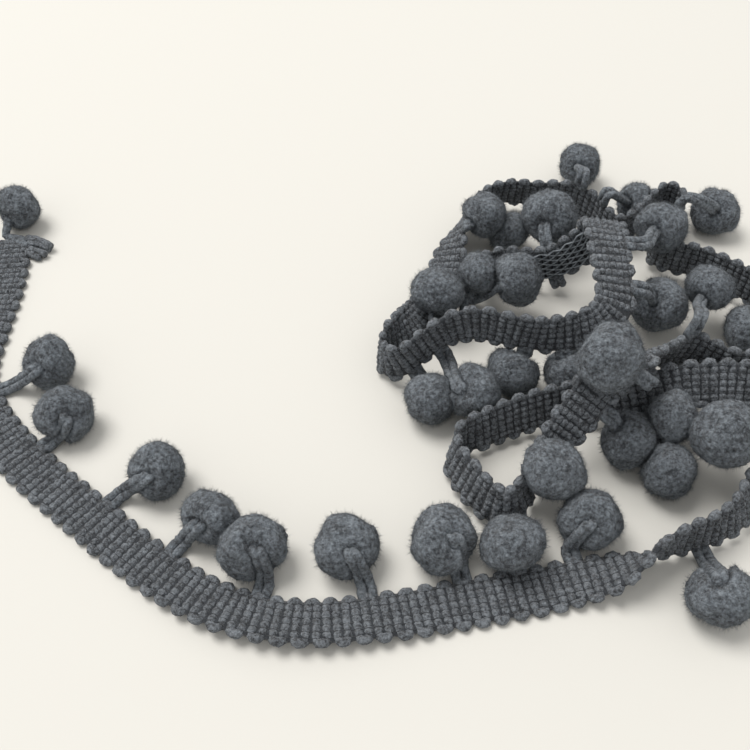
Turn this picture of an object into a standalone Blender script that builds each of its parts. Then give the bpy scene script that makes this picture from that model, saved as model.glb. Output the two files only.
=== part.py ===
# Pompom fringe trim: a knitted tape laid in an open bow and a loose heap, with its pompoms

import math
from collections import namedtuple

import bmesh
import bpy
import numpy as np
from mathutils import Vector
from mathutils.bvhtree import BVHTree

MM = 0.001

# Sizes of the tape in millimetres
TAPE_WIDTH = 11.0
TAPE_THICKNESS = 2.0
SCALLOP_PITCH = 3.8
SCALLOP_DEPTH = 0.7
RIB_DEPTH = 0.35
EDGE_ROUNDING = 0.7

# Sizes of a pompom and of the doubled cord that ties it to the tape
POMPOM_DIAMETER = 13.0
CLEFT_DEPTH = 0.24
CLEFT_HALF_ANGLE = math.radians(42)
POMPOM_RINGS = 6
POMPOM_SIDES = 10
CORD_RADIUS = 1.05
CORD_SPREAD = 1.25
CORD_STEPS = 4
CORD_REACH = 0.4
CORD_SIDES = 3
CORD_SINK = 0.45
CROWNS_BETWEEN = 2
STANDING_HEIGHT = 2.6

# Space left between pieces that touch, and between two layers of the soft heap
GAP = 0.3
SOFT_GAP = 0.45
PROBE_HALF_ANGLE = math.radians(24)
PROBE_COUNT = 1500

# The picture is square; a place in it and a height give a point of the model
PICTURE_MIDDLE = 375.0
PICTURE_FOCAL = 870.0
VIEW_DISTANCE = 206.0
VIEW_ELEVATION = math.radians(50.5)

# The picture's middle in the trim's own frame, whose origin is under the middle of its box
MIDDLE_X = 2.62
MIDDLE_Y = -5.14

# A bend of the tape: across and down are picture pixels of its middle line, height is in
# millimetres, and heading and rise aim the width from the plain edge to the fringed edge
Bend = namedtuple("Bend", "across down height heading rise")

TAIL = (
    Bend(14, 240, 1.0, -5, 0),
    Bend(3, 290, 1.0, -15, 0),
    Bend(-13, 335, 1.0, -15, 0),
    Bend(-25, 378, 1.0, 5, 0),
    Bend(-12, 418, 1.0, 40, 0),
)

BOW = (
    Bend(30, 467, 1.0, 52, 0),
    Bend(79, 509, 1.0, 55, 0),
    Bend(130, 551, 1.0, 56, 0),
    Bend(189, 592, 1.3, 60, -6),
    Bend(245, 615, 1.8, 75, -11),
    Bend(310, 623, 1.9, 90, -11),
    Bend(382, 617, 1.5, 98, -7),
    Bend(462, 604, 1.0, 100, 0),
    Bend(531, 592, 1.0, 100, 0),
    Bend(575, 582, 1.4, 100, -4),
)

ROLL_OVER = (
    Bend(612, 573, 2.9, 100, -20),
    Bend(638, 562, 5.0, 100, -52),
    Bend(660, 549, 6.6, 100, -82),
    Bend(686, 539, 6.6, -70, -84),
    Bend(712, 530, 6.6, -50, -78),
    Bend(738, 514, 6.8, -30, -66),
    Bend(754, 488, 7.2, 0, -56),
    Bend(766, 460, 8.8, 0, -62),
    Bend(778, 434, 10.4, -10, -66),
    Bend(784, 408, 12.0, -40, -76),
    Bend(771, 388, 13.0, -80, -66),
)

SLOPE = (
    Bend(740, 383, 13.4, -82, -50),
    Bend(712, 383, 13.4, -88, -48),
    Bend(676, 386, 12.4, -92, -50),
    Bend(640, 395, 9.6, -96, -56),
    Bend(605, 400, 7.0, -98, -62),
)

LOOP = (
    Bend(566, 403, 6.4, -95, -64),
    Bend(520, 415, 6.2, -90, -64),
    Bend(482, 430, 6.2, -80, -68),
    Bend(458, 440, 6.4, -120, -80),
    Bend(453, 456, 6.4, 185, -76),
    Bend(466, 476, 6.4, 205, -70),
    Bend(482, 495, 6.4, 215, -70),
    Bend(502, 508, 6.6, 250, -72),
    Bend(519, 500, 6.6, -40, -72),
    Bend(532, 476, 7.2, -30, -74),
    Bend(551, 449, 9.4, -32, -64),
    Bend(577, 415, 14.4, -36, -46),
    Bend(604, 380, 19.0, -44, -36),
)

RETURN = (
    Bend(626, 364, 19.8, -44, 5),
    Bend(648, 353, 18.0, -44, 50),
    Bend(668, 351, 15.0, -50, 78),
    Bend(689, 349, 13.2, 90, 86),
    Bend(708, 356, 12.4, 60, 86),
    Bend(732, 366, 11.8, 60, 86),
    Bend(758, 364, 10.8, 90, 86),
    Bend(776, 346, 9.6, 90, 86),
    Bend(780, 320, 8.6, 90, 86),
    Bend(766, 297, 7.8, 90, 86),
    Bend(742, 282, 7.2, 90, 86),
    Bend(720, 271, 7.0, 90, 86),
)

RING = (
    Bend(698, 262, 6.8, 90, 86),
    Bend(675, 257, 6.8, 90, 86),
    Bend(656, 250, 6.8, 90, 86),
    Bend(653, 240, 6.8, 90, 86),
    Bend(665, 229, 6.8, 90, 86),
    Bend(679, 217, 6.8, 90, 86),
    Bend(678, 203, 6.8, 90, 86),
    Bend(664, 196, 6.8, -90, 84),
    Bend(652, 205, 6.8, 90, 86),
    Bend(636, 221, 6.6, 90, 86),
    Bend(618, 231, 6.6, 90, 86),
    Bend(604, 222, 6.6, 90, 86),
    Bend(590, 207, 7.0, 90, 86),
    Bend(565, 195, 7.2, -90, 82),
    Bend(535, 194, 7.0, -90, 78),
    Bend(508, 192, 7.0, -85, 76),
    Bend(482, 199, 6.8, -50, 74),
    Bend(463, 221, 6.4, -10, 66),
    Bend(452, 243, 5.0, -15, 44),
    Bend(446, 268, 2.8, -20, 18),
    Bend(435, 297, 1.2, -24, 0),
    Bend(420, 320, 2.2, -34, -22),
)

WALL = (
    Bend(404, 331, 4.4, -45, -52),
    Bend(389, 341, 5.8, -45, -76),
    Bend(381, 352, 6.1, 180, -86),
    Bend(388, 362, 6.6, 230, -86),
    Bend(404, 360, 8.2, -90, -86),
    Bend(425, 345, 10.8, -90, -86),
    Bend(450, 329, 13.6, -90, -86),
    Bend(478, 324, 15.0, -90, -86),
    Bend(508, 330, 15.2, -90, -86),
    Bend(540, 335, 14.6, -90, -84),
    Bend(570, 333, 15.0, -85, -72),
)

CREST = (
    Bend(598, 325, 16.4, -60, -52),
    Bend(614, 308, 18.4, -30, -34),
    Bend(615, 284, 20.6, -8, -20),
    Bend(611, 258, 22.6, 0, -12),
    Bend(607, 236, 23.8, 0, -8),
    Bend(603, 222, 22.0, 0, -8),
    Bend(597, 230, 18.6, -5, -20),
    Bend(586, 243, 15.4, -10, -42),
    Bend(571, 254, 12.6, -30, -64),
    Bend(554, 262, 10.2, -60, -80),
    Bend(536, 265, 8.6, -90, -86),
    Bend(518, 264, 7.6, -90, -86),
    Bend(500, 264, 7.0, -90, -84),
    Bend(482, 269, 6.8, -90, -84),
    Bend(465, 281, 6.6, -60, -84),
)

ROUTE = TAIL + BOW + ROLL_OVER + SLOPE + LOOP + RETURN + RING + WALL + CREST

# A pompom: the picture pixels and the height of its middle, its size beside the common
# one, its depth through the cleft beside its width, and, where they are plain to see, the
# picture pixels of the cord's root on the tape and of the cleft
Pompom = namedtuple("Pompom", "across down height size depth root cleft", defaults=(None, None))

POMPOMS = (
    Pompom(17, 207, 5.9, 0.95, 0.86, (2, 243), (3, 222)),
    Pompom(49, 363, 5.7, 0.97, 0.78, (0, 392), (32, 371)),
    Pompom(65, 415, 5.8, 1.00, 0.86, (48, 447), (67, 419)),
    Pompom(157, 471, 5.9, 0.97, 0.84, (110, 504), (143, 480)),
    Pompom(210, 517, 5.6, 0.92, 0.86, (169, 550), (192, 529)),
    Pompom(252, 547, 6.3, 1.06, 0.88, (253, 597), (257, 550)),
    Pompom(347, 547, 5.9, 1.04, 0.74, (363, 600), (353, 556)),
    Pompom(444, 540, 6.2, 1.08, 0.90, (471, 577), (458, 535)),
    Pompom(512, 543, 5.9, 1.02, 0.84, (524, 566)),
    Pompom(590, 520, 5.8, 0.98, 0.88, (582, 558), (590, 527)),
    Pompom(721, 594, 6.0, 1.00, 0.88, (681, 535), (721, 574)),
    Pompom(554, 469, 11.5, 1.02, 0.88),
    Pompom(628, 439, 7.5, 1.00, 0.90),
    Pompom(669, 470, 6.2, 0.97, 0.92),
    Pompom(673, 417, 12.0, 0.85, 0.92),
    Pompom(726, 434, 15.0, 1.08, 0.92),
    Pompom(610, 358, 27.5, 1.12, 0.90),
    Pompom(660, 305, 9.0, 1.02, 0.92),
    Pompom(710, 288, 12.0, 0.90, 0.90, (690, 333), (699, 303)),
    Pompom(516, 279, 12.5, 1.02, 0.94, (471, 298), (491, 288)),
    Pompom(480, 274, 11.5, 0.90, 0.90),
    Pompom(438, 292, 10.0, 1.02, 0.90),
    Pompom(484, 215, 11.0, 0.96, 0.90),
    Pompom(550, 217, 13.0, 1.10, 0.84, (542, 262), (541, 229)),
    Pompom(508, 232, 5.6, 0.85, 0.90),
    Pompom(580, 165, 5.8, 0.94, 0.86, (580, 181), (579, 170)),
    Pompom(635, 203, 6.0, 0.85, 0.92),
    Pompom(662, 227, 17.0, 1.00, 0.74, (641, 242), (650, 234)),
    Pompom(715, 212, 6.0, 0.98, 0.84, (692, 214), (715, 209)),
    Pompom(430, 399, 6.0, 0.93, 0.90),
    Pompom(472, 390, 8.5, 0.98, 0.90, (434, 354), (458, 390)),
    Pompom(512, 372, 6.0, 0.95, 0.90),
    Pompom(748, 330, 6.0, 0.95, 0.90),
    Pompom(570, 372, 6.0, 0.95, 0.90),
)

TAPE_COLOUR = (0.091, 0.107, 0.122)
POMPOM_COLOUR = (0.114, 0.133, 0.156)


def clear_scene():
    for item in list(bpy.data.objects):
        bpy.data.objects.remove(item, do_unlink=True)


def cloth_material(name, colour):
    material = bpy.data.materials.new(name)
    material.use_nodes = True
    shader = material.node_tree.nodes["Principled BSDF"]
    shader.inputs["Base Color"].default_value = (*colour, 1.0)
    shader.inputs["Roughness"].default_value = 0.95
    shader.inputs["Metallic"].default_value = 0.0
    return material


def unit(vector):
    return vector / np.linalg.norm(vector)


def picture_point(across, down, height):
    """The point at a given height that shows at a place in the picture, in millimetres."""
    sine = math.sin(VIEW_ELEVATION)
    cosine = math.cos(VIEW_ELEVATION)
    right = (across - PICTURE_MIDDLE) / PICTURE_FOCAL
    up = (PICTURE_MIDDLE - down) / PICTURE_FOCAL
    depth = (VIEW_DISTANCE * sine - height) / (sine - up * cosine)
    y = -VIEW_DISTANCE * cosine + depth * (cosine + up * sine)
    return np.array((depth * right + MIDDLE_X, y + MIDDLE_Y, height))


def seen_on_ball(pixels, centre, radius):
    """The direction from a ball's middle to the place on it that shows at picture pixels."""
    back = VIEW_DISTANCE * math.cos(VIEW_ELEVATION)
    up = VIEW_DISTANCE * math.sin(VIEW_ELEVATION)
    eye = np.array((MIDDLE_X, MIDDLE_Y - back, up))
    ray = unit(picture_point(*pixels, centre[2]) - eye)
    nearest = eye + ray * np.dot(centre - eye, ray) - centre
    aside = min(np.linalg.norm(nearest), radius * 0.98)
    return unit(unit(nearest) * aside - ray * math.sqrt(radius**2 - aside**2))


def aim(heading, rise):
    heading = math.radians(heading)
    rise = math.radians(rise)
    level = math.cos(rise)
    return np.array((math.cos(heading) * level, math.sin(heading) * level, math.sin(rise)))


def smooth_samples(knots, values, places):
    """Catmull-Rom values at the given places along the knots."""
    rows = []
    last = len(knots) - 1
    for place in places:
        k = int(np.clip(np.searchsorted(knots, place, side="right") - 1, 0, last - 1))
        span = knots[k + 1] - knots[k]
        t = (place - knots[k]) / span
        before = values[k - 1] if k > 0 else 2 * values[0] - values[1]
        after = values[k + 2] if k + 2 <= last else 2 * values[last] - values[last - 1]
        back = knots[k + 1] - (knots[k - 1] if k > 0 else knots[0] - span)
        ahead = (knots[k + 2] if k + 2 <= last else knots[last] + span) - knots[k]
        leave = (values[k + 1] - before) / back * span
        arrive = (after - values[k]) / ahead * span
        rows.append(
            (2 * t**3 - 3 * t**2 + 1) * values[k]
            + (t**3 - 2 * t**2 + t) * leave
            + (3 * t**2 - 2 * t**3) * values[k + 1]
            + (t**3 - t**2) * arrive
        )
    return np.array(rows)


def tape_frames():
    """Middle points, directions, widths and faces at every half scallop of the tape."""
    points = np.array([picture_point(b.across, b.down, b.height) for b in ROUTE])
    widths = np.array([aim(b.heading, b.rise) for b in ROUTE])
    knots = np.concatenate(([0.0], np.cumsum(np.linalg.norm(np.diff(points, axis=0), axis=1))))
    fine = np.arange(0.0, knots[-1], 0.25)
    course = smooth_samples(knots, points, fine)
    length = np.concatenate(([0.0], np.cumsum(np.linalg.norm(np.diff(course, axis=0), axis=1))))
    half_pitch = SCALLOP_PITCH / 2
    count = 2 * int(length[-1] / SCALLOP_PITCH)
    places = np.interp(np.arange(count + 1) * half_pitch, length, fine)
    middles = smooth_samples(knots, points, places)
    step = 0.2
    ahead = smooth_samples(knots, points, np.minimum(places + step, knots[-1]))
    behind = smooth_samples(knots, points, np.maximum(places - step, 0.0))
    frames = []
    for middle, along, width in zip(middles, ahead - behind, smooth_samples(knots, widths, places)):
        along = unit(along)
        width = unit(width - along * np.dot(width, along))
        face = np.cross(along, width)
        reach = TAPE_WIDTH / 2 * abs(width[2]) + TAPE_THICKNESS / 2 * abs(face[2])
        middle[2] = max(middle[2], reach)
        frames.append((middle, along, width, face))
    return frames


def tape_section(frame, crown):
    """Six points round the tape: fringed edge, face, plain edge and back."""
    middle, _, width, face = frame
    half_width = TAPE_WIDTH / 2 - (0.0 if crown else SCALLOP_DEPTH)
    inner = half_width - EDGE_ROUNDING
    half = TAPE_THICKNESS / 2
    lift = half if crown else half - RIB_DEPTH
    rests = middle[2] < TAPE_THICKNESS
    sink = half if rests else lift
    outline = (
        (half_width, 0.0),
        (inner, lift),
        (-inner, lift),
        (-half_width, 0.0),
        (-inner, -sink),
        (inner, -sink),
    )
    return [middle + width * w + face * h for w, h in outline]


def tape_shape(frames):
    rings = [tape_section(frame, j % 2 == 1) for j, frame in enumerate(frames)]
    points = [p for ring in rings for p in ring]
    size = len(rings[0])
    faces = [tuple(range(size)), tuple(reversed(range(len(points) - size, len(points))))]
    for j in range(len(rings) - 1):
        for k in range(size):
            a = j * size + k
            b = j * size + (k + 1) % size
            faces.append((a, a + size, b + size))
            faces.append((a, b + size, b))
    return points, faces


def edge_points(frames):
    """The crowns along the fringed edge, with the tape's directions there."""
    return [(m + w * TAPE_WIDTH / 2, t, w, n) for m, t, w, n in frames[1::2]]


def cleft_way(pompom, centre, radius, root):
    """The direction from a pompom's middle to its cleft."""
    if pompom.cleft is None:
        return unit(root - centre)
    return seen_on_ball(pompom.cleft, centre, radius)


def cord_plan(pompom, centre, radius, edges, taken, obstacles):
    """The nearest free crown whose doubled cord runs clear of the tape and other cords."""
    if pompom.root is None:
        reach = [np.linalg.norm(e[0] + e[2] * 2 * CORD_RADIUS - centre) for e in edges]
    else:
        reach = [np.linalg.norm(e[0] - picture_point(*pompom.root, e[0][2])) for e in edges]
    for place in np.argsort(reach):
        if any(abs(place - other) < CROWNS_BETWEEN for other in taken):
            continue
        crown = edges[place]
        cleft = cleft_way(pompom, centre, radius, crown[0])
        legs = [cord_shape(crown, centre, radius, cleft, side) for side in (-1, 1)]
        trees = [tree_of(*leg) for leg in legs]
        if not any(tree.overlap(other) for tree in trees for other in obstacles):
            return int(place), cleft, legs, trees
    raise ValueError(f"no free crown for the pompom at {pompom.across}, {pompom.down}")


def cord_exit(crown, centre):
    """Where a cord leaves its crown: outwards, or beside a tape that stands on that edge."""
    root, _, width, face = crown
    if width[2] > -0.5 or root[2] > STANDING_HEIGHT:
        return root + width * (GAP + CORD_RADIUS * 0.2), width
    side = face if np.dot(face, centre - root) > 0 else -face
    return root + side * (TAPE_THICKNESS / 2 + GAP + CORD_RADIUS), side


def cord_shape(crown, centre, radius, cleft, side):
    """One leg of the doubled cord, from the tape's edge into the cleft of its pompom."""
    root, along, _, _ = crown
    start, leave = cord_exit(crown, centre)
    start = start + along * side * CORD_SPREAD
    apart = along - cleft * np.dot(along, cleft)
    apart = unit(apart) if np.linalg.norm(apart) > 0.1 else unit(np.cross(cleft, leave))
    end = centre + cleft * radius * CORD_SINK + apart * side * CORD_SPREAD * 0.6
    reach = np.linalg.norm(end - start) * CORD_REACH
    bends = (start, start + leave * reach, end + cleft * reach, end)
    path = []
    for i in range(CORD_STEPS + 1):
        t = i / CORD_STEPS
        shares = ((1 - t) ** 3, 3 * t * (1 - t) ** 2, 3 * t**2 * (1 - t), t**3)
        place = sum(share * bend for share, bend in zip(shares, bends))
        place[2] = max(place[2], CORD_RADIUS)
        path.append(place)
    points = []
    for i, place in enumerate(path):
        way = unit(path[min(i + 1, CORD_STEPS)] - path[max(i - 1, 0)])
        across = unit(apart - way * np.dot(apart, way))
        over = np.cross(way, across)
        for k in range(CORD_SIDES):
            angle = 2 * math.pi * k / CORD_SIDES + math.pi / 6
            spoke = across * math.cos(angle) + over * math.sin(angle)
            points.append(place + spoke * CORD_RADIUS)
    count = len(points)
    faces = [tuple(reversed(range(CORD_SIDES))), tuple(range(count - CORD_SIDES, count))]
    for i in range(CORD_STEPS):
        for k in range(CORD_SIDES):
            a = i * CORD_SIDES + k
            b = i * CORD_SIDES + (k + 1) % CORD_SIDES
            faces.append((a, b, b + CORD_SIDES, a + CORD_SIDES))
    return points, faces


def probe_directions():
    """Evenly spread directions on a sphere, along a golden spiral."""
    turn = math.pi * (3 - math.sqrt(5))
    index = np.arange(PROBE_COUNT)
    z = 1 - (2 * index + 1) / PROBE_COUNT
    level = np.sqrt(1 - z**2)
    return np.stack((np.cos(turn * index) * level, np.sin(turn * index) * level, z), axis=1)


PROBES = probe_directions()


def free_reach(centre, radius, neighbours):
    """How far each probe runs from the centre before it meets a neighbour."""
    reach = np.full(PROBE_COUNT, radius)
    origin = Vector(centre)
    for tree in neighbours:
        if tree.find_nearest(origin, radius + SOFT_GAP)[0] is None:
            continue
        for i, probe in enumerate(PROBES):
            distance = tree.ray_cast(origin, Vector(probe), radius + SOFT_GAP)[3]
            if distance is not None:
                reach[i] = min(reach[i], distance - SOFT_GAP)
    return reach


def pompom_shape(centre, radius, depth, towards, neighbours):
    """A ball with a cleft where its cord enters, pressed flat by what it meets."""
    reach = free_reach(centre, radius, neighbours)
    side = unit(np.cross(towards, (0.31, 0.17, 0.94)))
    other = np.cross(towards, side)
    narrow = math.cos(PROBE_HALF_ANGLE)
    points = []
    for ring in range(POMPOM_RINGS + 1):
        polar = math.pi * ring / POMPOM_RINGS
        sides = 1 if ring in (0, POMPOM_RINGS) else POMPOM_SIDES
        for k in range(sides):
            angle = 2 * math.pi * (k + 0.5 * (ring % 2)) / POMPOM_SIDES
            way = towards * math.cos(polar) + math.sin(polar) * (
                side * math.cos(angle) + other * math.sin(angle)
            )
            share = max(0.0, 1 - polar / CLEFT_HALF_ANGLE)
            full = radius / math.hypot(math.cos(polar) / depth, math.sin(polar))
            length = full * (1 - CLEFT_DEPTH * share)
            near = PROBES @ way > narrow
            length = min(length, reach[near].min())
            if way[2] < 0:
                length = min(length, centre[2] / -way[2])
            points.append(centre + way * length)
    return points, ball_faces()


def ball_faces():
    faces = []
    last = 1 + (POMPOM_RINGS - 1) * POMPOM_SIDES
    for k in range(POMPOM_SIDES):
        after = (k + 1) % POMPOM_SIDES
        faces.append((0, 1 + k, 1 + after))
        base = last - POMPOM_SIDES
        faces.append((base + k, last, base + after))
    for ring in range(POMPOM_RINGS - 2):
        low = 1 + ring * POMPOM_SIDES
        high = low + POMPOM_SIDES
        for k in range(POMPOM_SIDES):
            after = (k + 1) % POMPOM_SIDES
            if ring % 2 == 0:
                faces.append((low + k, high + k, low + after))
                faces.append((low + after, high + k, high + after))
            else:
                faces.append((low + k, high + k, high + after))
                faces.append((low + k, high + after, low + after))
    return faces


def tree_of(points, faces):
    return BVHTree.FromPolygons([Vector(p) for p in points], faces)


def make_object(name, points, faces, material):
    mesh = bpy.data.meshes.new(name)
    mesh.from_pydata([Vector(p) * MM for p in points], [], faces)
    body = bmesh.new()
    body.from_mesh(mesh)
    bmesh.ops.triangulate(body, faces=body.faces)
    bmesh.ops.recalc_face_normals(body, faces=body.faces)
    body.to_mesh(mesh)
    body.free()
    mesh.materials.append(material)
    item = bpy.data.objects.new(name, mesh)
    bpy.context.scene.collection.objects.link(item)
    return item


def join_solids(item, others):
    """One closed body from a ball and the two legs of its cord."""
    for other in others:
        union = item.modifiers.new("union", "BOOLEAN")
        union.operation = "UNION"
        union.solver = "EXACT"
        union.object = other
    bpy.context.view_layer.update()
    shape = item.evaluated_get(bpy.context.evaluated_depsgraph_get())
    joined = bpy.data.meshes.new_from_object(shape)
    item.modifiers.clear()
    item.data = joined
    for other in others:
        bpy.data.objects.remove(other, do_unlink=True)


def build_trim():
    """The tape first, then each pompom with its cord, clear of the tape and each other."""
    tape_cloth = cloth_material("tape_yarn", TAPE_COLOUR)
    pompom_wool = cloth_material("pompom_wool", POMPOM_COLOUR)
    frames = tape_frames()
    points, faces = tape_shape(frames)
    make_object("tape", points, faces, tape_cloth)
    tape_tree = tree_of(points, faces)
    edges = edge_points(frames)

    plans = []
    taken = []
    cords = []
    for pompom in POMPOMS:
        centre = picture_point(pompom.across, pompom.down, pompom.height)
        radius = POMPOM_DIAMETER / 2 * pompom.size
        obstacles = [tape_tree] + [tree for pair in cords for tree in pair]
        place, cleft, legs, trees = cord_plan(pompom, centre, radius, edges, taken, obstacles)
        taken.append(place)
        cords.append(trees)
        plans.append((centre, radius, pompom.depth, cleft, legs))

    balls = []
    for i, (centre, radius, depth, cleft, legs) in enumerate(plans):
        others = [tree for j, pair in enumerate(cords) if j != i for tree in pair]
        shape = pompom_shape(centre, radius, depth, cleft, [tape_tree] + others + balls)
        balls.append(tree_of(*shape))
        name = f"pompom_{i + 1:02d}"
        ball = make_object(name, *shape, pompom_wool)
        strands = [make_object(f"{name}_leg_{k}", *leg, pompom_wool) for k, leg in enumerate(legs)]
        join_solids(ball, strands)


clear_scene()
build_trim()
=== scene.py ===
# Looks of the pompom fringe trim: a knitted grey tape with pompoms, on a pale floor.
# Lengths are in millimetres, and make_piece turns them into metres.

import math
from collections import namedtuple

import bpy
import numpy as np
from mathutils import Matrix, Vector
from mathutils.bvhtree import BVHTree


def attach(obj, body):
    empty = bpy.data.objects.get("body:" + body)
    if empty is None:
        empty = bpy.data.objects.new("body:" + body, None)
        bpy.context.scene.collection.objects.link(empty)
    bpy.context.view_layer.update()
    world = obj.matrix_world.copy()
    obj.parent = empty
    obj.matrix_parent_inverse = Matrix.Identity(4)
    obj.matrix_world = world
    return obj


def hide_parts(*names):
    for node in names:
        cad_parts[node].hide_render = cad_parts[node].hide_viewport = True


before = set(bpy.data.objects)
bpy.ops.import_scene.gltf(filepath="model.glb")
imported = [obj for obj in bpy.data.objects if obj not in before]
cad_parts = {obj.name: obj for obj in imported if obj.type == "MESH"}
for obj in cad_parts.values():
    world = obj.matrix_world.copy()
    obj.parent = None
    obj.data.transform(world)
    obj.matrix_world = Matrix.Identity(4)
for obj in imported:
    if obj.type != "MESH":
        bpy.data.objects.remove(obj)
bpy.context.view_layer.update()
MM = 0.001

# The tape: a cord laid to and fro across it in ribs, which its threads pinch
TAPE_WIDTH = 11.0
TAPE_THICKNESS = 2.0
RIB_PITCH = 1.9
RIB_RADIUS = 0.94
RIB_SIDES = 9
RIB_STEP = 0.42
RIB_PIECES = 3
TURN_RADIUS = RIB_PITCH / 2
TURN_POINTS = 8
PINCH_DEPTH = 0.48
PINCH_WIDTH = 0.36
YARN_LUMPS = 0.085
FLOOR_LIFT = 0.03
CORNER_POINTS = 12

# The thin web under the ribs
GROUND_WIDTH = 8.6
GROUND_THICKNESS = 0.7
GROUND_POINTS = 7
GROUND_INSET = 0.5

# Thin threads that run along both faces
THREAD_PLACES = (-3.75, -2.25, -0.75, 0.75, 2.25, 3.75)
THREAD_RADIUS = 0.2
THREAD_SIDES = 3
THREAD_SINK = 0.02
THREAD_DIP = 0.1
THREAD_SWAY = 0.05
THREAD_STRAY = 0.04
THREAD_END = 0.6

# Threads that cross over the inner face near the crest; first and last count the ribs
NET_PLACES = (-3.0, -1.5, 0.0, 1.5, 3.0)
NET_SWAY = 1.5
NET_FIRST = 384
NET_LAST = 404
NET_STEP = 0.5
NET_LIFT = 0.98
NET_SIDES = 5

# Steps along the tape's course
COURSE_STEP = 0.25
AIM_STEP = 0.2
MARKS_PER_RIB = 8

# The ball of a pompom, with lumps, tufts, and a dimple and creases where the cord ties it.
# Depths are shares of its radius, the sizes of lumps and tufts are lengths, and angles are in
# radians. SKEW is a direction that no cord runs in, and RIM keeps a seen place off the outline
POMPOM_DIAMETER = 13.0
BALL_RINGS = 44
BALL_SIDES = 60
BALL_FILL = 0.96
BALL_LUMPS = 0.14
LUMP_SIZE = 10.0
BALL_TUFTS = 0.045
TUFT_SIZE = 2.2
BALL_GRAIN = 0.009
NOISE_OCTAVES = 2
NOISE_WAVES = 6
DIMPLE_DEPTH = 0.34
DIMPLE_ANGLE = 0.42
CREASES = 2
CREASE_WIDTH = 0.06
CREASE_DEPTH = 0.05
CREASE_END = 1.4
SKEW = (0.31, 0.17, 0.94)
RIM = 0.98

# How a ball gives way to its neighbours: reach, nearness and core are shares of its radius
GAP = 0.3
PRESS_GAP = 0.7 * GAP
PRESS_REACH = 1.3
PRESS_NEAR = 1.15
PRESS_CORE = 0.25
PRESS_BLEND = 0.35
NEARLY_LEVEL = 1e-6

# The groove that a ball leaves for its own cord
GROOVE_WIDTH = 1.25
GROOVE_START = 0.58
GROOVE_DEPTH = 1.1
GROOVE_FLARE = 2.4
GROOVE_SPAN = 1.3
GROOVE_CORE = 0.5
GROOVE_BLEND = 0.5

# The doubled cord, from inside the tape's edge into the ball. It leaves across the tape where
# the edge is high or doesn't lean steeply down, and otherwise through the tape's face; the
# passing values are for a cord that is led past a given place
CORD_RADIUS = 0.98
CORD_SIDES = 10
CORD_START = 1.2
CORD_KNEE = 0.6
CORD_SPREAD = 0.95
CORD_CLOSING = 0.7
CORD_REACH = 0.4
CORD_RISE = 0.85
CORD_SINK = 0.45
CORD_ROOT = 0.12
CORD_POINTS = 18
PASSING_START = 0.15
PASSING_POINTS = (10, 8)
STANDING_HEIGHT = 2.6
STEEP_DOWN = -0.5
SAME_WAY = 0.1

# Short fibres that stand out of a ball
FIBRES = 3700
FIBRE_LENGTH = 1.5
FIBRE_SHORTEST = 0.4
FIBRE_RADII = (0.03, 0.055)
FIBRE_LEAN = 0.6
FIBRE_ROOT = 0.25
FIBRE_LIFT = 0.02
FIBRE_CORNERS = ((1.0, 0.0), (-0.5, 0.87), (-0.5, -0.87))
FIBRE_FACES = ((0, 2, 1), (0, 1, 3), (1, 2, 3), (2, 0, 3))

# First random seeds
RIB_SEED = 40
CORNER_SEED = 60
THREAD_SEED = 90
BALL_SEED = 200
TUFT_SEED = 7
FIBRE_SEED = 500
CORD_SEED = 800

# Yarn: a ramp from its dark to its own colour, grain as noise scale, relief in metres
YarnLook = namedtuple("YarnLook", "colour dark grain relief")
TAPE_YARN = YarnLook((0.33, 0.369, 0.417), (0.018, 0.022, 0.028), 1800.0, 0.0016)
# The yarn of the warp threads and the web is near-black: painted shade for the shadowed valleys
# along the threads and the pits between the ribs
PAINTED_SHADE_YARN = YarnLook((0.05, 0.057, 0.066), (0.02, 0.023, 0.028), 1500.0, 0.0004)
NET_YARN = YarnLook((0.34, 0.38, 0.42), (0.16, 0.18, 0.2), 1500.0, 0.0004)
POMPOM_WOOL = YarnLook((0.32, 0.368, 0.42), (0.031, 0.038, 0.048), 1300.0, 0.0018)
YARN_SURFACE = {
    "Roughness": 0.95,
    "Specular IOR Level": 0.15,
    "Sheen Weight": 0.2,
    "Sheen Roughness": 0.6,
}

# Speckle, cloud and fibres of the yarn: a share of its grain, and the noise's detail
NOISE_LAYERS = ((1.0, 4.0), (0.2, 3.0), (0.8, 5.0))
NOISE_ROUGHNESS = 0.7
CLOUD_SHARE = 0.3
RAMP_PLACES = (0.39, 0.64)

# The floor, the lamp and the sky, in metres and watts
FLOOR_HALF = 1.2
FLOOR_SURFACE = {
    "Base Color": (0.675, 0.665, 0.628, 1.0),
    "Roughness": 0.9,
    "Specular IOR Level": 0.1,
}
LAMP_PLACE = (-0.9, 0.65, 2.2)
LAMP_SIZE = 1.5
LAMP_POWER = 50.0
LAMP_COLOUR = (1.0, 0.975, 0.94)
SKY_COLOUR = (1.0, 0.99, 0.97, 1.0)
SKY_STRENGTH = 0.7

# The picture is square; a place in it and a height give a point of the model
PICTURE_MIDDLE = 375.0
PICTURE_FOCAL = 870.0
VIEW_DISTANCE = 206.0
VIEW_ELEVATION = math.radians(50.5)
MIDDLE_X = 2.62
MIDDLE_Y = -5.14
SENSOR = 36.0
EYE = np.array(
    (
        MIDDLE_X,
        MIDDLE_Y - VIEW_DISTANCE * math.cos(VIEW_ELEVATION),
        VIEW_DISTANCE * math.sin(VIEW_ELEVATION),
    )
)

# A place of the tape's middle line in picture pixels, its height, and the heading and rise in
# degrees of the way from there to the fringed edge
Bend = namedtuple("Bend", "across down height heading rise")

TAIL = (
    Bend(14, 240, 1.0, -5, 0),
    Bend(3, 290, 1.0, -15, 0),
    Bend(-13, 335, 1.0, -15, 0),
    Bend(-25, 378, 1.0, 5, 0),
    Bend(-12, 418, 1.0, 40, 0),
)

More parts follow.
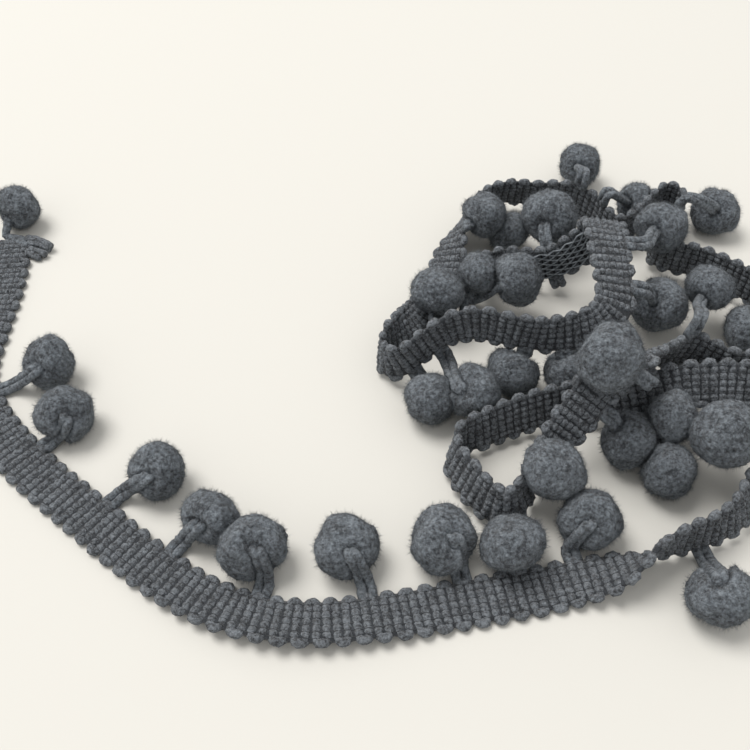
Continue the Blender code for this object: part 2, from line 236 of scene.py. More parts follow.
BOW = (
    Bend(30, 467, 1.0, 52, 0),
    Bend(79, 509, 1.0, 55, 0),
    Bend(130, 551, 1.0, 56, 0),
    Bend(189, 592, 1.3, 60, -6),
    Bend(245, 615, 1.8, 75, -11),
    Bend(310, 623, 1.9, 90, -11),
    Bend(382, 617, 1.5, 98, -7),
    Bend(462, 604, 1.0, 100, 0),
    Bend(531, 592, 1.0, 100, 0),
    Bend(575, 582, 1.4, 100, -4),
)

ROLL_OVER = (
    Bend(612, 573, 2.9, 100, -20),
    Bend(638, 562, 5.0, 100, -52),
    Bend(660, 549, 6.6, 100, -82),
    Bend(686, 539, 6.6, -70, -84),
    Bend(712, 530, 6.6, -50, -78),
    Bend(738, 514, 6.8, -30, -66),
    Bend(754, 488, 7.2, 0, -56),
    Bend(766, 460, 8.8, 0, -62),
    Bend(778, 434, 10.4, -10, -66),
    Bend(784, 408, 12.0, -40, -76),
    Bend(771, 388, 13.0, -80, -66),
)

SLOPE = (
    Bend(740, 383, 13.4, -82, -50),
    Bend(712, 383, 13.4, -88, -48),
    Bend(676, 386, 12.4, -92, -50),
    Bend(640, 395, 9.6, -96, -56),
    Bend(605, 400, 7.0, -98, -62),
)

LOOP = (
    Bend(566, 403, 6.4, -95, -64),
    Bend(520, 415, 6.2, -90, -64),
    Bend(482, 430, 6.2, -80, -68),
    Bend(458, 440, 6.4, -120, -80),
    Bend(453, 456, 6.4, 185, -76),
    Bend(466, 476, 6.4, 205, -70),
    Bend(482, 495, 6.4, 215, -70),
    Bend(502, 508, 6.6, 250, -72),
    Bend(519, 500, 6.6, -40, -72),
    Bend(532, 476, 7.2, -30, -74),
    Bend(551, 449, 9.4, -32, -64),
    Bend(577, 415, 14.4, -36, -46),
    Bend(604, 380, 19.0, -44, -36),
)

RETURN = (
    Bend(626, 364, 19.8, -44, 5),
    Bend(648, 353, 18.0, -44, 50),
    Bend(668, 351, 15.0, -50, 78),
    Bend(689, 349, 13.2, 90, 86),
    Bend(708, 356, 12.4, 60, 86),
    Bend(732, 366, 11.8, 60, 86),
    Bend(758, 364, 10.8, 90, 86),
    Bend(776, 346, 9.6, 90, 86),
    Bend(780, 320, 8.6, 90, 86),
    Bend(766, 297, 7.8, 90, 86),
    Bend(742, 282, 7.2, 90, 86),
    Bend(720, 271, 7.0, 90, 86),
)

RING = (
    Bend(698, 262, 6.8, 90, 86),
    Bend(675, 257, 6.8, 90, 86),
    Bend(656, 250, 6.8, 90, 86),
    Bend(653, 240, 6.8, 90, 86),
    Bend(665, 229, 6.8, 90, 86),
    Bend(679, 217, 6.8, 90, 86),
    Bend(678, 203, 6.8, 90, 86),
    Bend(664, 196, 6.8, -90, 84),
    Bend(652, 205, 6.8, 90, 86),
    Bend(636, 221, 6.6, 90, 86),
    Bend(618, 231, 6.6, 90, 86),
    Bend(604, 222, 6.6, 90, 86),
    Bend(590, 207, 7.0, 90, 86),
    Bend(565, 195, 7.2, -90, 82),
    Bend(535, 194, 7.0, -90, 78),
    Bend(508, 192, 7.0, -85, 76),
    Bend(482, 199, 6.8, -50, 74),
    Bend(463, 221, 6.4, -10, 66),
    Bend(452, 243, 5.0, -15, 44),
    Bend(446, 268, 2.8, -20, 18),
    Bend(435, 297, 1.2, -24, 0),
    Bend(420, 320, 2.2, -34, -22),
)

WALL = (
    Bend(404, 331, 4.4, -45, -52),
    Bend(389, 341, 5.8, -45, -76),
    Bend(381, 352, 6.1, 180, -86),
    Bend(388, 362, 6.6, 230, -86),
    Bend(404, 360, 8.2, -90, -86),
    Bend(425, 345, 10.8, -90, -86),
    Bend(450, 329, 13.6, -90, -86),
    Bend(478, 324, 15.0, -90, -86),
    Bend(508, 330, 15.2, -90, -86),
    Bend(540, 335, 14.6, -90, -84),
    Bend(570, 333, 15.0, -85, -72),
)

CREST = (
    Bend(598, 325, 16.4, -60, -52),
    Bend(614, 308, 18.4, -30, -34),
    Bend(615, 284, 20.6, -8, -20),
    Bend(611, 258, 22.6, 0, -12),
    Bend(607, 236, 23.8, 0, -8),
    Bend(603, 222, 22.0, 0, -8),
    Bend(597, 230, 18.6, -5, -20),
    Bend(586, 243, 15.4, -10, -42),
    Bend(571, 254, 12.6, -30, -64),
    Bend(554, 262, 10.2, -60, -80),
    Bend(536, 265, 8.6, -90, -86),
    Bend(518, 264, 7.6, -90, -86),
    Bend(500, 264, 7.0, -90, -84),
    Bend(482, 269, 6.8, -90, -84),
    Bend(465, 281, 6.6, -60, -84),
)

# The tape's cut corner curls over in a few yarns: picture places, and a height in millimetres
CornerYarn = namedtuple("CornerYarn", "start turn tip height")
CORNER = (
    CornerYarn((27, 238), (39, 240), (51, 246), 1.9),
    CornerYarn((29, 243), (41, 245), (50, 249), 1.2),
    CornerYarn((30, 249), (39, 252), (46, 254), 1.4),
    CornerYarn((31, 254), (37, 257), (41, 257), 1.0),
)

ROUTE = TAIL + BOW + ROLL_OVER + SLOPE + LOOP + RETURN + RING + WALL + CREST

# Crown is which crown of the fringed edge carries the pompom, counted from the tail end, and
# cleft is where the cord's entry shows in the picture and by is a place that the cord passes;
# narrow is the share of the ball's size left across the picture
Pompom = namedtuple(
    "Pompom", "across down height size depth crown cleft by narrow", defaults=(None, None, 1.0)
)

POMPOMS = (
    Pompom(17, 207, 5.9, 0.95, 0.86, 0, (3, 222), (5, 236)),
    Pompom(49, 363, 5.7, 0.97, 0.78, 14, (32, 371)),
    Pompom(65, 415, 5.8, 1.00, 0.86, 20, (67, 419)),
    Pompom(157, 471, 5.9, 0.97, 0.84, 26, (143, 480)),
    Pompom(210, 517, 5.6, 0.92, 0.86, 31, (192, 529)),
    Pompom(252, 547, 6.3, 1.06, 0.88, 37, (257, 550)),
    Pompom(347, 547, 5.9, 1.04, 0.74, 43, (353, 556)),
    Pompom(444, 540, 6.2, 1.08, 0.90, 48, (458, 535)),
    Pompom(512, 543, 5.9, 1.05, 0.76, 51),
    Pompom(590, 520, 5.8, 0.98, 0.88, 54, (590, 527)),
    Pompom(721, 594, 6.0, 1.00, 0.88, 61, (721, 574)),
    Pompom(554, 469, 11.5, 1.02, 0.88, 99),
    Pompom(628, 439, 7.5, 1.02, 0.95, 104, narrow=0.84),
    Pompom(669, 470, 6.2, 1.00, 0.98, 79, narrow=0.84),
    Pompom(673, 417, 12.0, 0.87, 0.95, 77, narrow=0.92),
    Pompom(726, 434, 15.0, 1.08, 0.92, 75),
    Pompom(610, 358, 27.5, 1.12, 0.90, 107),
    Pompom(660, 305, 9.0, 1.02, 0.92, 190),
    Pompom(710, 288, 12.0, 0.90, 0.90, 112, (699, 303)),
    Pompom(516, 279, 12.5, 1.02, 0.94, 165, (491, 288)),
    Pompom(480, 274, 11.5, 0.90, 0.90, 167),
    Pompom(438, 292, 10.0, 1.02, 0.90, 169),
    Pompom(484, 215, 11.0, 0.96, 0.90, 160),
    Pompom(550, 217, 13.0, 1.10, 0.84, 200, (541, 229)),
    Pompom(508, 232, 5.6, 0.85, 0.90, 158),
    Pompom(580, 165, 5.8, 0.94, 0.86, 149, (579, 170)),
    Pompom(635, 203, 6.0, 0.85, 0.92, 147),
    Pompom(662, 227, 17.0, 1.00, 0.74, 193, (650, 234)),
    Pompom(715, 212, 6.0, 0.98, 0.84, 136, (715, 209)),
    Pompom(430, 399, 6.0, 0.93, 0.90, 175),
    Pompom(472, 390, 8.5, 0.98, 0.90, 177, (458, 390)),
    Pompom(512, 372, 6.0, 0.95, 0.90, 183),
    Pompom(748, 330, 6.0, 0.95, 0.90, 121),
    Pompom(570, 372, 6.0, 0.95, 0.90, 185),
)


def view_camera():
    camera = bpy.data.cameras.new("view")
    camera.sensor_width = SENSOR
    camera.lens = SENSOR * PICTURE_FOCAL / (2 * PICTURE_MIDDLE)
    item = bpy.data.objects.new("view", camera)
    item.location = EYE * MM
    item.rotation_euler = (math.pi / 2 - VIEW_ELEVATION, 0, 0)
    bpy.context.scene.collection.objects.link(item)
    bpy.context.scene.camera = item


def unit(vector):
    return vector / np.linalg.norm(vector, axis=-1, keepdims=True)


def picture_point(across, down, height):
    """The point at a given height that shows at a place in the picture."""
    sine = math.sin(VIEW_ELEVATION)
    cosine = math.cos(VIEW_ELEVATION)
    right = (across - PICTURE_MIDDLE) / PICTURE_FOCAL
    up = (PICTURE_MIDDLE - down) / PICTURE_FOCAL
    depth = (VIEW_DISTANCE * sine - height) / (sine - up * cosine)
    y = -VIEW_DISTANCE * cosine + depth * (cosine + up * sine)
    return np.array((depth * right + MIDDLE_X, y + MIDDLE_Y, height))


def seen_on_ball(pixels, centre, radius):
    """The direction from a ball's middle to the place on it that shows at picture pixels."""
    ray = unit(picture_point(*pixels, centre[2]) - EYE)
    nearest = EYE + ray * np.dot(centre - EYE, ray) - centre
    aside = min(np.linalg.norm(nearest), radius * RIM)
    return unit(unit(nearest) * aside - ray * math.sqrt(radius**2 - aside**2))


def aim(heading, rise):
    """The direction with a heading round the vertical and a rise above level, in degrees."""
    heading = math.radians(heading)
    rise = math.radians(rise)
    level = math.cos(rise)
    return np.array((math.cos(heading) * level, math.sin(heading) * level, math.sin(rise)))


def run_lengths(points):
    """The length along a line at each of its points."""
    gaps = np.linalg.norm(np.diff(points, axis=0), axis=1)
    return np.concatenate(([0.0], np.cumsum(gaps)))


def smooth_samples(knots, values, places):
    """Catmull-Rom values at the given places along the knots."""
    last = len(knots) - 1
    places = np.asarray(places, float)
    k = np.clip(np.searchsorted(knots, places, side="right") - 1, 0, last - 1)
    padded = np.vstack((2 * values[0] - values[1], values, 2 * values[last] - values[last - 1]))
    marks = np.concatenate(([2 * knots[0] - knots[1]], knots, [2 * knots[last] - knots[last - 1]]))
    span = (marks[k + 2] - marks[k + 1])[:, None]
    t = ((places - marks[k + 1]) / span[:, 0])[:, None]
    leave = (padded[k + 2] - padded[k]) / (marks[k + 2] - marks[k])[:, None] * span
    arrive = (padded[k + 3] - padded[k + 1]) / (marks[k + 3] - marks[k + 1])[:, None] * span
    return (
        (2 * t**3 - 3 * t**2 + 1) * padded[k + 1]
        + (t**3 - 2 * t**2 + t) * leave
        + (3 * t**2 - 2 * t**3) * padded[k + 2]
        + (t**3 - t**2) * arrive
    )


class Course:
    """The lie of the tape: its middle, direction, width and face at any length along it."""

    def __init__(self):
        points = np.array([picture_point(b.across, b.down, b.height) for b in ROUTE])
        widths = np.array([aim(b.heading, b.rise) for b in ROUTE])
        knots = run_lengths(points)
        fine = np.arange(0.0, knots[-1], COURSE_STEP)
        length = run_lengths(smooth_samples(knots, points, fine))
        self.ribs = 2 * int(length[-1] / (2 * RIB_PITCH))
        beyond = MARKS_PER_RIB // 2
        marks = np.arange(-beyond, self.ribs * MARKS_PER_RIB + beyond + 1)
        self.marks = marks * RIB_PITCH / MARKS_PER_RIB
        places = np.interp(self.marks, length, fine)
        self.middle = smooth_samples(knots, points, places)
        ahead = smooth_samples(knots, points, np.minimum(places + AIM_STEP, knots[-1]))
        behind = smooth_samples(knots, points, np.maximum(places - AIM_STEP, 0.0))
        self.along = unit(ahead - behind)
        width = smooth_samples(knots, widths, places)
        leaning = np.sum(width * self.along, axis=1, keepdims=True)
        self.width = unit(width - self.along * leaning)
        self.face = np.cross(self.along, self.width)
        reach = TAPE_WIDTH / 2 * abs(self.width[:, 2]) + TAPE_THICKNESS / 2 * abs(self.face[:, 2])
        self.middle[:, 2] = np.maximum(self.middle[:, 2], reach)

    def at(self, lengths):
        """The middle, direction, width and face at the given lengths."""
        rows = []
        for values in (self.middle, self.along, self.width, self.face):
            columns = [np.interp(lengths, self.marks, column) for column in values.T]
            rows.append(np.stack(columns, axis=1))
        return rows[0], unit(rows[1]), unit(rows[2]), unit(rows[3])

    def point(self, lengths, over, lift):
        """Points at lengths along the tape, over across it and lift above its middle."""
        middle, _, width, face = self.at(lengths)
        return middle + width * over[:, None] + face * lift[:, None]


def make_piece(name, points, faces, material, slot, node):
    """A visible piece of triangles that stands for a node of the solids."""
    mesh = bpy.data.meshes.new(name)
    points = np.asarray(points, float) * MM
    mesh.vertices.add(len(points))
    mesh.vertices.foreach_set("co", points.ravel())
    mesh.loops.add(faces.size)
    mesh.loops.foreach_set("vertex_index", faces.ravel())
    mesh.polygons.add(len(faces))
    mesh.polygons.foreach_set("loop_start", np.arange(0, faces.size, 3))
    mesh.polygons.foreach_set("use_smooth", np.ones(len(faces), bool))
    mesh.update(calc_edges=True)
    mesh.validate()
    mesh.materials.append(material)
    item = bpy.data.objects.new(name, mesh)
    bpy.context.scene.collection.objects.link(item)
    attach(item, "root")
    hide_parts(node)
    return item


def join_shapes(shapes):
    points = []
    faces = []
    base = 0
    for shape_points, shape_faces in shapes:
        points.append(shape_points)
        faces.append(shape_faces + base)
        base += len(shape_points)
    return np.vstack(points), np.vstack(faces)


def ring_bands(count, sides):
    """Triangles between the neighbouring rings of a tube."""
    i = np.arange(count - 1)[:, None] * sides
    k = np.arange(sides)[None, :]
    after = (k + 1) % sides
    quads = np.stack((i + k, i + after, i + after + sides, i + k + sides), axis=2).reshape(-1, 4)
    return np.vstack((quads[:, (0, 1, 2)], quads[:, (0, 2, 3)]))


def tube(path, across, over, radius, sides):
    """Rings round a path, with the radius given for each point and side; ends closed."""
    angles = 2 * np.pi * np.arange(sides) / sides
    spokes = (
        np.cos(angles)[None, :, None] * across[:, None, :]
        + np.sin(angles)[None, :, None] * over[:, None, :]
    )
    rings = path[:, None, :] + spokes * radius[:, :, None]
    points = np.vstack((rings.reshape(-1, 3), path[0], path[-1]))
    tip = len(path) * sides
    end = tip - sides
    k = np.arange(sides)
    after = (k + 1) % sides
    first = np.stack((after, k, np.full(sides, tip)), axis=1)
    last = np.stack((end + k, end + after, np.full(sides, tip + 1)), axis=1)
    return points, np.vstack((ring_bands(len(path), sides), first, last))


def lumpy_cord(path, across, over, radius, sides, seed):
    """A tube of yarn with a slightly uneven surface, kept above the floor."""
    rng = np.random.default_rng(seed)
    lumps = 1 + rng.normal(0, YARN_LUMPS, (len(path), sides))
    points, faces = tube(path, across, over, radius * lumps, sides)
    points[:, 2] = np.maximum(points[:, 2], FLOOR_LIFT)
    return points, faces


def rib_path(first, last):
    """Lengths and widths of the zigzag cord from one rib to another, with its turns."""
    inner = TAPE_WIDTH / 2 - TURN_RADIUS - RIB_RADIUS
    straight = np.arange(-inner, inner, RIB_STEP)
    turn = np.linspace(-np.pi / 2, np.pi / 2, TURN_POINTS)
    lengths = []
    overs = []
    for rib in range(first, last):
        place = (rib + 0.5) * RIB_PITCH
        side = 1 if rib % 2 == 0 else -1
        lengths.append(np.full(len(straight), place))
        overs.append(straight * side)
        if rib < last - 1:
            lengths.append(place + TURN_RADIUS + TURN_RADIUS * np.sin(turn))
            overs.append(side * (inner + TURN_RADIUS * np.cos(turn)))
    return np.concatenate(lengths), np.concatenate(overs)


def rib_cord(course, first, last, seed):
    """The zigzag cord, thinner on both faces where the threads pinch it."""
    lengths, overs = rib_path(first, last)
    middle, _, width, face = course.at(lengths)
    path = middle + width * overs[:, None]
    travel = unit(np.gradient(path, axis=0))
    over = unit(face - travel * np.sum(face * travel, axis=1, keepdims=True))
    across = np.cross(travel, over)
    angles = 2 * np.pi * np.arange(RIB_SIDES) / RIB_SIDES
    facing = np.abs(np.sin(angles))[None, :]
    gap = np.abs(overs[:, None] - np.array(THREAD_PLACES)[None, :]).min(axis=1)
    pinch = np.exp(-((gap / PINCH_WIDTH) ** 2))[:, None]
    radius = RIB_RADIUS * (1 - pinch * (PINCH_DEPTH * facing))
    return lumpy_cord(path, across, over, radius, RIB_SIDES, seed)


def corner_shape(yarn, seed):
    """One yarn of the tape's curled corner, bent through three places of the picture."""
    bends = [picture_point(*pixels, yarn.height) for pixels in (yarn.start, yarn.turn, yarn.tip)]
    places = np.linspace(0, 2, CORNER_POINTS)
    path = smooth_samples(np.arange(3.0), np.array(bends), places)
    travel = unit(np.gradient(path, axis=0))
    across = unit(np.cross(travel, (0.0, 0.0, 1.0)))
    over = np.cross(across, travel)
    return lumpy_cord(path, across, over, RIB_RADIUS, RIB_SIDES, seed)


def ground_shape(course):
    """The thin web that the ribs are worked on."""
    lengths = np.arange(GROUND_INSET, course.ribs * RIB_PITCH - GROUND_INSET, RIB_PITCH)
    overs = np.linspace(GROUND_WIDTH / 2, -GROUND_WIDTH / 2, GROUND_POINTS)
    outline = [(over, 1) for over in overs] + [(over, -1) for over in overs[::-1]]
    rows = []
    for over, side in outline:
        lift = np.full(len(lengths), side * GROUND_THICKNESS / 2)
        rows.append(course.point(lengths, np.full(len(lengths), over), lift))
    points = np.stack(rows, axis=1).reshape(-1, 3)
    size = len(outline)
    end = len(points) - size
    fan = np.arange(1, size - 1)
    first = np.stack((np.zeros(size - 2, int), fan, fan + 1), axis=1)
    last = np.stack((np.full(size - 2, end), end + fan + 1, end + fan), axis=1)
    bands = ring_bands(len(lengths), size)[:, ::-1]
    return points, np.vstack((bands, first, last))


def thread_shape(course, over, side, seed):
    """One thin thread that runs along a face, dipping between the ribs."""
    lengths = np.arange(RIB_PITCH / 2, course.ribs * RIB_PITCH - THREAD_END, RIB_PITCH / 2)
    rng = np.random.default_rng(seed)
    wave = np.cos(2 * np.pi * (lengths / RIB_PITCH - 0.5))
    lift = side * (RIB_RADIUS * (1 - PINCH_DEPTH) - THREAD_SINK + THREAD_DIP * (wave - 1))
    overs = over + THREAD_SWAY * wave + rng.normal(0, THREAD_STRAY, len(lengths))
    path = course.point(lengths, overs, lift)
    _, _, width, face = course.at(lengths)
    radius = np.full((len(path), THREAD_SIDES), THREAD_RADIUS)
    return tube(path, width, face, radius, THREAD_SIDES)


def net_shape(course, over, phase):
    """One thin thread that runs to and fro over the ribs of the loop's inner face."""
    lengths = np.arange(NET_FIRST, NET_LAST, NET_STEP) * RIB_PITCH
    sway = np.abs((lengths / (RIB_PITCH * 2) + phase) % 2 - 1) - 0.5
    path = course.point(lengths, over + sway * NET_SWAY, np.full(len(lengths), NET_LIFT))
    _, _, width, face = course.at(lengths)
    radius = np.full((len(path), NET_SIDES), THREAD_RADIUS)
    return tube(path, width, face, radius, NET_SIDES)


def ball_directions():
    rows = []
    for ring in range(1, BALL_RINGS):
        polar = math.pi * ring / BALL_RINGS
        angle = 2 * np.pi * (np.arange(BALL_SIDES) + 0.5 * (ring % 2)) / BALL_SIDES
        level = np.full(BALL_SIDES, np.cos(polar))
        around = (np.sin(polar) * np.cos(angle), np.sin(polar) * np.sin(angle), level)
        rows.append(np.stack(around, axis=1))
    return np.vstack(([[0, 0, 1]], *rows, [[0, 0, -1]]))


def ball_faces():
    k = np.arange(BALL_SIDES)
    after = (k + 1) % BALL_SIDES
    last = 1 + (BALL_RINGS - 1) * BALL_SIDES
    base = last - BALL_SIDES
    faces = [
        np.stack((np.zeros(BALL_SIDES, int), 1 + k, 1 + after), axis=1),
        np.stack((base + k, np.full(BALL_SIDES, last), base + after), axis=1),
    ]
    for ring in range(BALL_RINGS - 2):
        low = 1 + ring * BALL_SIDES
        high = low + BALL_SIDES
        if ring % 2 == 0:
            faces.append(np.stack((low + k, high + k, low + after), axis=1))
            faces.append(np.stack((low + after, high + k, high + after), axis=1))
        else:
            faces.append(np.stack((low + k, high + k, high + after), axis=1))
            faces.append(np.stack((low + k, high + after, low + after), axis=1))
    return np.vstack(faces)


def smooth_noise(points, scale, seed):
    """A cheap smooth field: sums of sines in fixed random directions."""
    rng = np.random.default_rng(seed)
    total = np.zeros(len(points))
    for octave in range(NOISE_OCTAVES):
        size = scale / 2**octave
        for _ in range(NOISE_WAVES):
            way = rng.normal(size=3)
            way *= 2 * np.pi / (size * np.linalg.norm(way))
            total += np.sin(points @ way + rng.uniform(0, 2 * np.pi)) / 2**octave
    return total / (NOISE_WAVES / 2 * NOISE_OCTAVES)


def free_reach(centre, ways, radius, trees):
    """How far each direction runs from the centre before it meets a neighbour."""
    reach = np.full(len(ways), radius * PRESS_REACH)
    origin = Vector(centre)
    for tree in trees:
        if tree.find_nearest(origin, radius * PRESS_NEAR)[0] is None:
            continue
        for i, way in enumerate(ways):
            distance = tree.ray_cast(origin, Vector(way), radius * PRESS_REACH)[3]
            if distance is not None:
                reach[i] = min(reach[i], distance - PRESS_GAP)
    down = ways[:, 2] < -NEARLY_LEVEL
    reach[down] = np.minimum(reach[down], centre[2] / -ways[down, 2])
    return reach


def soft_least(a, b, blend):
    """The lesser of two lengths with a rounded corner between them."""
    share = np.clip(0.5 + 0.5 * (b - a) / blend, 0, 1)
    return b * (1 - share) + a * share - blend * share * (1 - share)


def groove_reach(centre, ways, radius, legs):
    """How far each direction runs before it meets the doubled cord, in a rounded groove."""
    reach = np.full(len(ways), POMPOM_DIAMETER)
    for point in np.vstack(legs):
        offset = point - centre
        if np.linalg.norm(offset) < radius * GROOVE_START:
            continue
        ahead = ways @ offset
        aside = np.sqrt(np.maximum(offset @ offset - ahead**2, 0)) / GROOVE_WIDTH
        limit = ahead - GROOVE_DEPTH + GROOVE_FLARE * aside**2
        met = (ahead > 0) & (aside < GROOVE_SPAN)
        reach = np.where(met, np.minimum(reach, limit), reach)
    return reach


def pompom_ball(centre, radius, pompom, towards, trees, legs, seed):
    """The uneven ball, dimpled towards its cord and pressed in by all that it meets."""
    rng = np.random.default_rng(seed)
    side = unit(np.cross(towards, SKEW))
    other = np.cross(towards, side)
    local = ball_directions()
    ways = local[:, :1] * side + local[:, 1:2] * other + local[:, 2:] * towards
    polar = np.arccos(np.clip(local[:, 2], -1, 1))
    dimple = np.exp(-((polar / DIMPLE_ANGLE) ** 2))
    crease = np.zeros(len(ways))
    for turn in rng.uniform(0, 2 * np.pi, CREASES):
        flow = local[:, 0] * math.cos(turn) + local[:, 1] * math.sin(turn)
        aside = np.abs(local[:, 1] * math.cos(turn) - local[:, 0] * math.sin(turn))
        fade = np.clip(CREASE_END - polar, 0, 1)
        crease += np.exp(-((aside / CREASE_WIDTH) ** 2)) * (flow > 0) * fade
    lumps = BALL_LUMPS * smooth_noise(ways * radius + centre, LUMP_SIZE, seed)
    fine = BALL_TUFTS * smooth_noise(ways * radius, TUFT_SIZE, seed + TUFT_SEED)
    fine += rng.normal(0, BALL_GRAIN, len(ways))
    full = BALL_FILL * radius / np.hypot(local[:, 2] / pompom.depth, np.sin(polar))
    full /= np.sqrt(1 + ways[:, 0] ** 2 * (1 / pompom.narrow**2 - 1))
    hollow = DIMPLE_DEPTH * dimple
    length = full * (1 + lumps + fine - hollow - CREASE_DEPTH * np.minimum(crease, 1))
    groove = np.maximum(groove_reach(centre, ways, radius, legs), radius * GROOVE_CORE)
    length = soft_least(length, groove, GROOVE_BLEND)
    reach = np.maximum(free_reach(centre, ways, radius, trees), radius * PRESS_CORE)
    length = soft_least(length, reach, PRESS_BLEND)
    return centre + ways * length[:, None], ball_faces()


def ball_fibres(points, centre, seed):
    """Short fibres that stand out of a ball, as closed slivers."""
    rng = np.random.default_rng(seed)
    faces = ball_faces()
    a, b, c = points[faces[:, 0]], points[faces[:, 1]], points[faces[:, 2]]
    normal = np.cross(b - a, c - a)
    area = np.linalg.norm(normal, axis=1)
    pick = rng.choice(len(faces), FIBRES, p=area / area.sum())
    mix = rng.dirichlet((1, 1, 1), FIBRES)
    root = a[pick] * mix[:, :1] + b[pick] * mix[:, 1:2] + c[pick] * mix[:, 2:]
    out = unit(normal[pick])
    out *= np.sign(np.sum(out * (root - centre), axis=1, keepdims=True))
    lean = unit(out + rng.normal(0, FIBRE_LEAN, (FIBRES, 3)))
    length = rng.uniform(FIBRE_SHORTEST, 1.0, (FIBRES, 1)) ** 2 * FIBRE_LENGTH
    wide = rng.uniform(*FIBRE_RADII, (FIBRES, 1))
    side = unit(np.cross(lean, rng.normal(size=(FIBRES, 3))))
    other = np.cross(lean, side)
    root = root - out * FIBRE_ROOT
    corners = [root + (side * x + other * y) * wide for x, y in FIBRE_CORNERS]
    corners.append(root + lean * (length + FIBRE_ROOT))
    cloud = np.stack(corners, axis=1).reshape(-1, 3)
    cloud[:, 2] = np.maximum(cloud[:, 2], FIBRE_LIFT)
    base = np.arange(FIBRES)[:, None] * 4
    return cloud, np.vstack([base + np.array(face)[None, :] for face in FIBRE_FACES])


def leg_path(crown, centre, radius, cleft, side, by):
    """One leg of the doubled cord, from within the tape's edge into the cleft of its pompom."""
    root, along, width, face = crown
    start = root - width * CORD_START + along * side * RIB_PITCH / 2
    if width[2] > STEEP_DOWN or root[2] > STANDING_HEIGHT:
        leave = width
        knee = root + width * CORD_KNEE
    else:
        leave = face if np.dot(face, centre - root) > 0 else -face
        knee = root + leave * (TAPE_THICKNESS / 2 + GAP + CORD_RADIUS)
    knee = knee + along * side * CORD_SPREAD
    apart = along - cleft * np.dot(along, cleft)
    apart = unit(apart) if np.linalg.norm(apart) > SAME_WAY else unit(np.cross(cleft, leave))
    end = centre + cleft * radius * CORD_SINK + apart * side * CORD_SPREAD * CORD_CLOSING
    reach = np.linalg.norm(end - knee) * CORD_REACH
    rise = max(reach, radius * CORD_RISE)
    path = [start]
    if by is None:
        for t in np.linspace(0, 1, CORD_POINTS):
            shares = ((1 - t) ** 3, 3 * t * (1 - t) ** 2, 3 * t**2 * (1 - t), t**3)
            bends = (knee, knee + leave * reach, end + cleft * rise, end)
            path.append(sum(share * bend for share, bend in zip(shares, bends)))
    else:
        middle = picture_point(*by, CORD_RADIUS)
        for t in np.linspace(0, 1, PASSING_POINTS[0]):
            path.append(start + (middle - start) * t)
        for t in np.linspace(PASSING_START, 1, PASSING_POINTS[1]):
            path.append(middle + (end - middle) * t)
    path.append(centre + cleft * radius * CORD_ROOT)
    path = np.array(path)
    path[:, 2] = np.maximum(path[:, 2], CORD_RADIUS + FLOOR_LIFT)
    path[1:-1] = (path[:-2] + 2 * path[1:-1] + path[2:]) / 4
    return path, apart


def cord_leg(path, apart, seed):
    travel = unit(np.gradient(path, axis=0))
    across = unit(apart - travel * (travel @ apart)[:, None])
    over = np.cross(travel, across)
    return lumpy_cord(path, across, over, CORD_RADIUS, CORD_SIDES, seed)


def new_surface(name, values):
    """A material with the given values on its shader; returns it and the shader."""
    material = bpy.data.materials.new(name)
    material.use_nodes = True
    shader = material.node_tree.nodes["Principled BSDF"]
    for socket, value in values.items():
        shader.inputs[socket].default_value = value
    return material, shader


def yarn_material(name, look):
    """Matt yarn: speckled and cloudy colour, fibrous relief and a soft sheen."""
    material, shader = new_surface(name, YARN_SURFACE)
    tree = material.node_tree
    place = tree.nodes.new("ShaderNodeTexCoord")
    noises = []
    for share, detail in NOISE_LAYERS:
        noise = tree.nodes.new("ShaderNodeTexNoise")
        noise.inputs["Scale"].default_value = look.grain * share
        noise.inputs["Detail"].default_value = detail
        noise.inputs["Roughness"].default_value = NOISE_ROUGHNESS
        tree.links.new(place.outputs["Object"], noise.inputs["Vector"])
        noises.append(noise)
    speckle, cloud, fibres = noises
    blend = tree.nodes.new("ShaderNodeMix")
    blend.inputs["Factor"].default_value = CLOUD_SHARE
    tree.links.new(speckle.outputs["Fac"], blend.inputs[2])
    tree.links.new(cloud.outputs["Fac"], blend.inputs[3])
    ramp = tree.nodes.new("ShaderNodeValToRGB")
    stops = zip(ramp.color_ramp.elements, RAMP_PLACES, (look.dark, look.colour))
    for stop, position, colour in stops:
        stop.position = position
        stop.color = (*colour, 1.0)
    relief = tree.nodes.new("ShaderNodeBump")
    relief.inputs["Strength"].default_value = 1.0
    relief.inputs["Distance"].default_value = look.relief
    tree.links.new(blend.outputs[0], ramp.inputs["Fac"])
    tree.links.new(ramp.outputs["Color"], shader.inputs["Base Color"])
    tree.links.new(fibres.outputs["Fac"], relief.inputs["Height"])
    tree.links.new(relief.outputs["Normal"], shader.inputs["Normal"])
    return material


def tape_piece(name, shape, material):
    return make_piece(name, *shape, material, "tape_yarn", "tape")


def build_tape(course):
    yarn = yarn_material("tape_yarn", TAPE_YARN)
    # The web and the warp threads take the near-black yarn, which paints shade into the valleys and
    # pits between the ribs
    painted_shade_yarn = yarn_material("painted_shade_yarn", PAINTED_SHADE_YARN)
    net_yarn = yarn_material("net_yarn", NET_YARN)
    ground = tape_piece("tape_ground", ground_shape(course), painted_shade_yarn)
    cuts = np.linspace(0, course.ribs, RIB_PIECES + 1).astype(int)
    for i in range(RIB_PIECES):
        shapes = [rib_cord(course, cuts[i], cuts[i + 1], RIB_SEED + i)]
        if i == 0:
            shapes += [corner_shape(bent, CORNER_SEED + k) for k, bent in enumerate(CORNER)]
        tape_piece(f"tape_ribs_{i + 1}", join_shapes(shapes), yarn)
    runs = [(over, side) for side in (1, -1) for over in THREAD_PLACES]
    threads = [thread_shape(course, *run, THREAD_SEED + i) for i, run in enumerate(runs)]
    tape_piece("tape_warp_threads", join_shapes(threads), painted_shade_yarn)
    nets = [net_shape(course, over, phase) for over in NET_PLACES for phase in (0, 1)]
    tape_piece("tape_net_threads", join_shapes(nets), net_yarn)


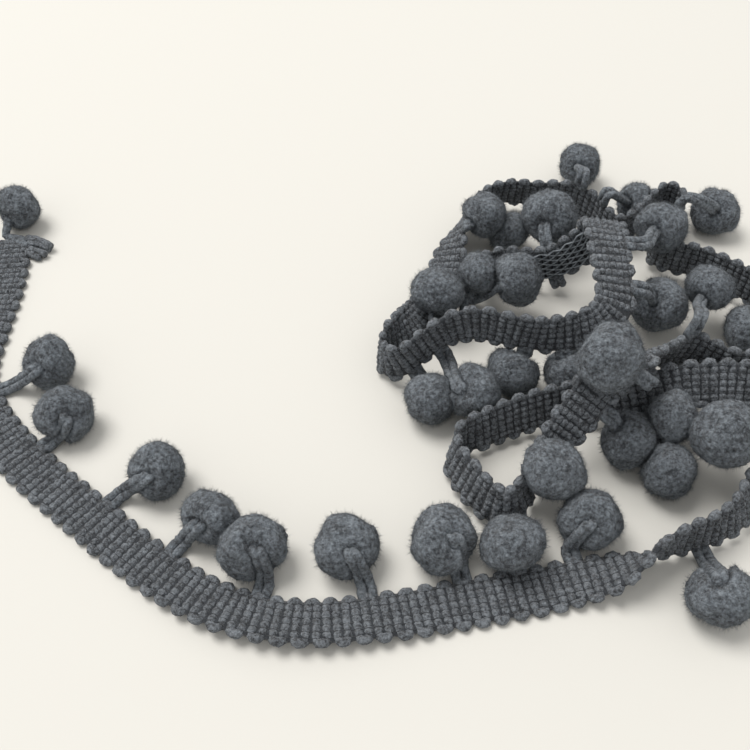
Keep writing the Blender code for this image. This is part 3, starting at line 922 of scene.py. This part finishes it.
def solid_trees():
    """A search tree for each solid, by the name of its node."""
    trees = {}
    for name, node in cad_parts.items():
        corners = [v.co / MM for v in node.data.vertices]
        trees[name] = BVHTree.FromPolygons(corners, [tuple(p.vertices) for p in node.data.polygons])
    return trees


def build_pompoms(course):
    wool = yarn_material("pompom_wool", POMPOM_WOOL)
    trees = solid_trees()
    for i, pompom in enumerate(POMPOMS):
        name = f"pompom_{i + 1:02d}"
        centre = picture_point(pompom.across, pompom.down, pompom.height)
        radius = POMPOM_DIAMETER / 2 * pompom.size
        lengths = np.array([(2 * pompom.crown + 1) * RIB_PITCH])
        middle, along, width, face = (row[0] for row in course.at(lengths))
        crown = (middle + width * TAPE_WIDTH / 2, along, width, face)
        cleft = unit(crown[0] - centre)
        if pompom.cleft is not None:
            cleft = seen_on_ball(pompom.cleft, centre, radius)
        legs = [leg_path(crown, centre, radius, cleft, side, pompom.by) for side in (-1, 1)]
        others = [tree for other, tree in trees.items() if other != name]
        paths = [path for path, _ in legs]
        ball = pompom_ball(centre, radius, pompom, cleft, others, paths, BALL_SEED + i)
        shapes = [ball]
        shapes.append(ball_fibres(ball[0], centre, FIBRE_SEED + i))
        shapes += [cord_leg(*leg, CORD_SEED + 2 * i + k) for k, leg in enumerate(legs)]
        make_piece(f"{name}_wool", *join_shapes(shapes), wool, "pompom_wool", name)


def build_floor():
    mesh = bpy.data.meshes.new("floor")
    corners = [(x * FLOOR_HALF, y * FLOOR_HALF, 0) for x, y in ((-1, -1), (1, -1), (1, 1), (-1, 1))]
    mesh.from_pydata(corners, [], [(0, 1, 2, 3)])
    mesh.materials.append(new_surface("floor", FLOOR_SURFACE)[0])
    floor = bpy.data.objects.new("floor", mesh)
    bpy.context.scene.collection.objects.link(floor)


def light_scene():
    lamp = bpy.data.lights.new("window", "AREA")
    lamp.shape = "DISK"
    lamp.size = LAMP_SIZE
    lamp.energy = LAMP_POWER
    lamp.color = LAMP_COLOUR
    item = bpy.data.objects.new("window", lamp)
    item.location = LAMP_PLACE
    item.rotation_euler = (-Vector(LAMP_PLACE)).to_track_quat("-Z", "Y").to_euler()
    bpy.context.scene.collection.objects.link(item)
    world = bpy.data.worlds.new("world")
    world.use_nodes = True
    sky = world.node_tree.nodes["Background"]
    sky.inputs["Color"].default_value = SKY_COLOUR
    sky.inputs["Strength"].default_value = SKY_STRENGTH
    bpy.context.scene.world = world
    bpy.context.scene.view_settings.view_transform = "Standard"


view_camera()
build_floor()
light_scene()
tape_course = Course()
build_tape(tape_course)
build_pompoms(tape_course)
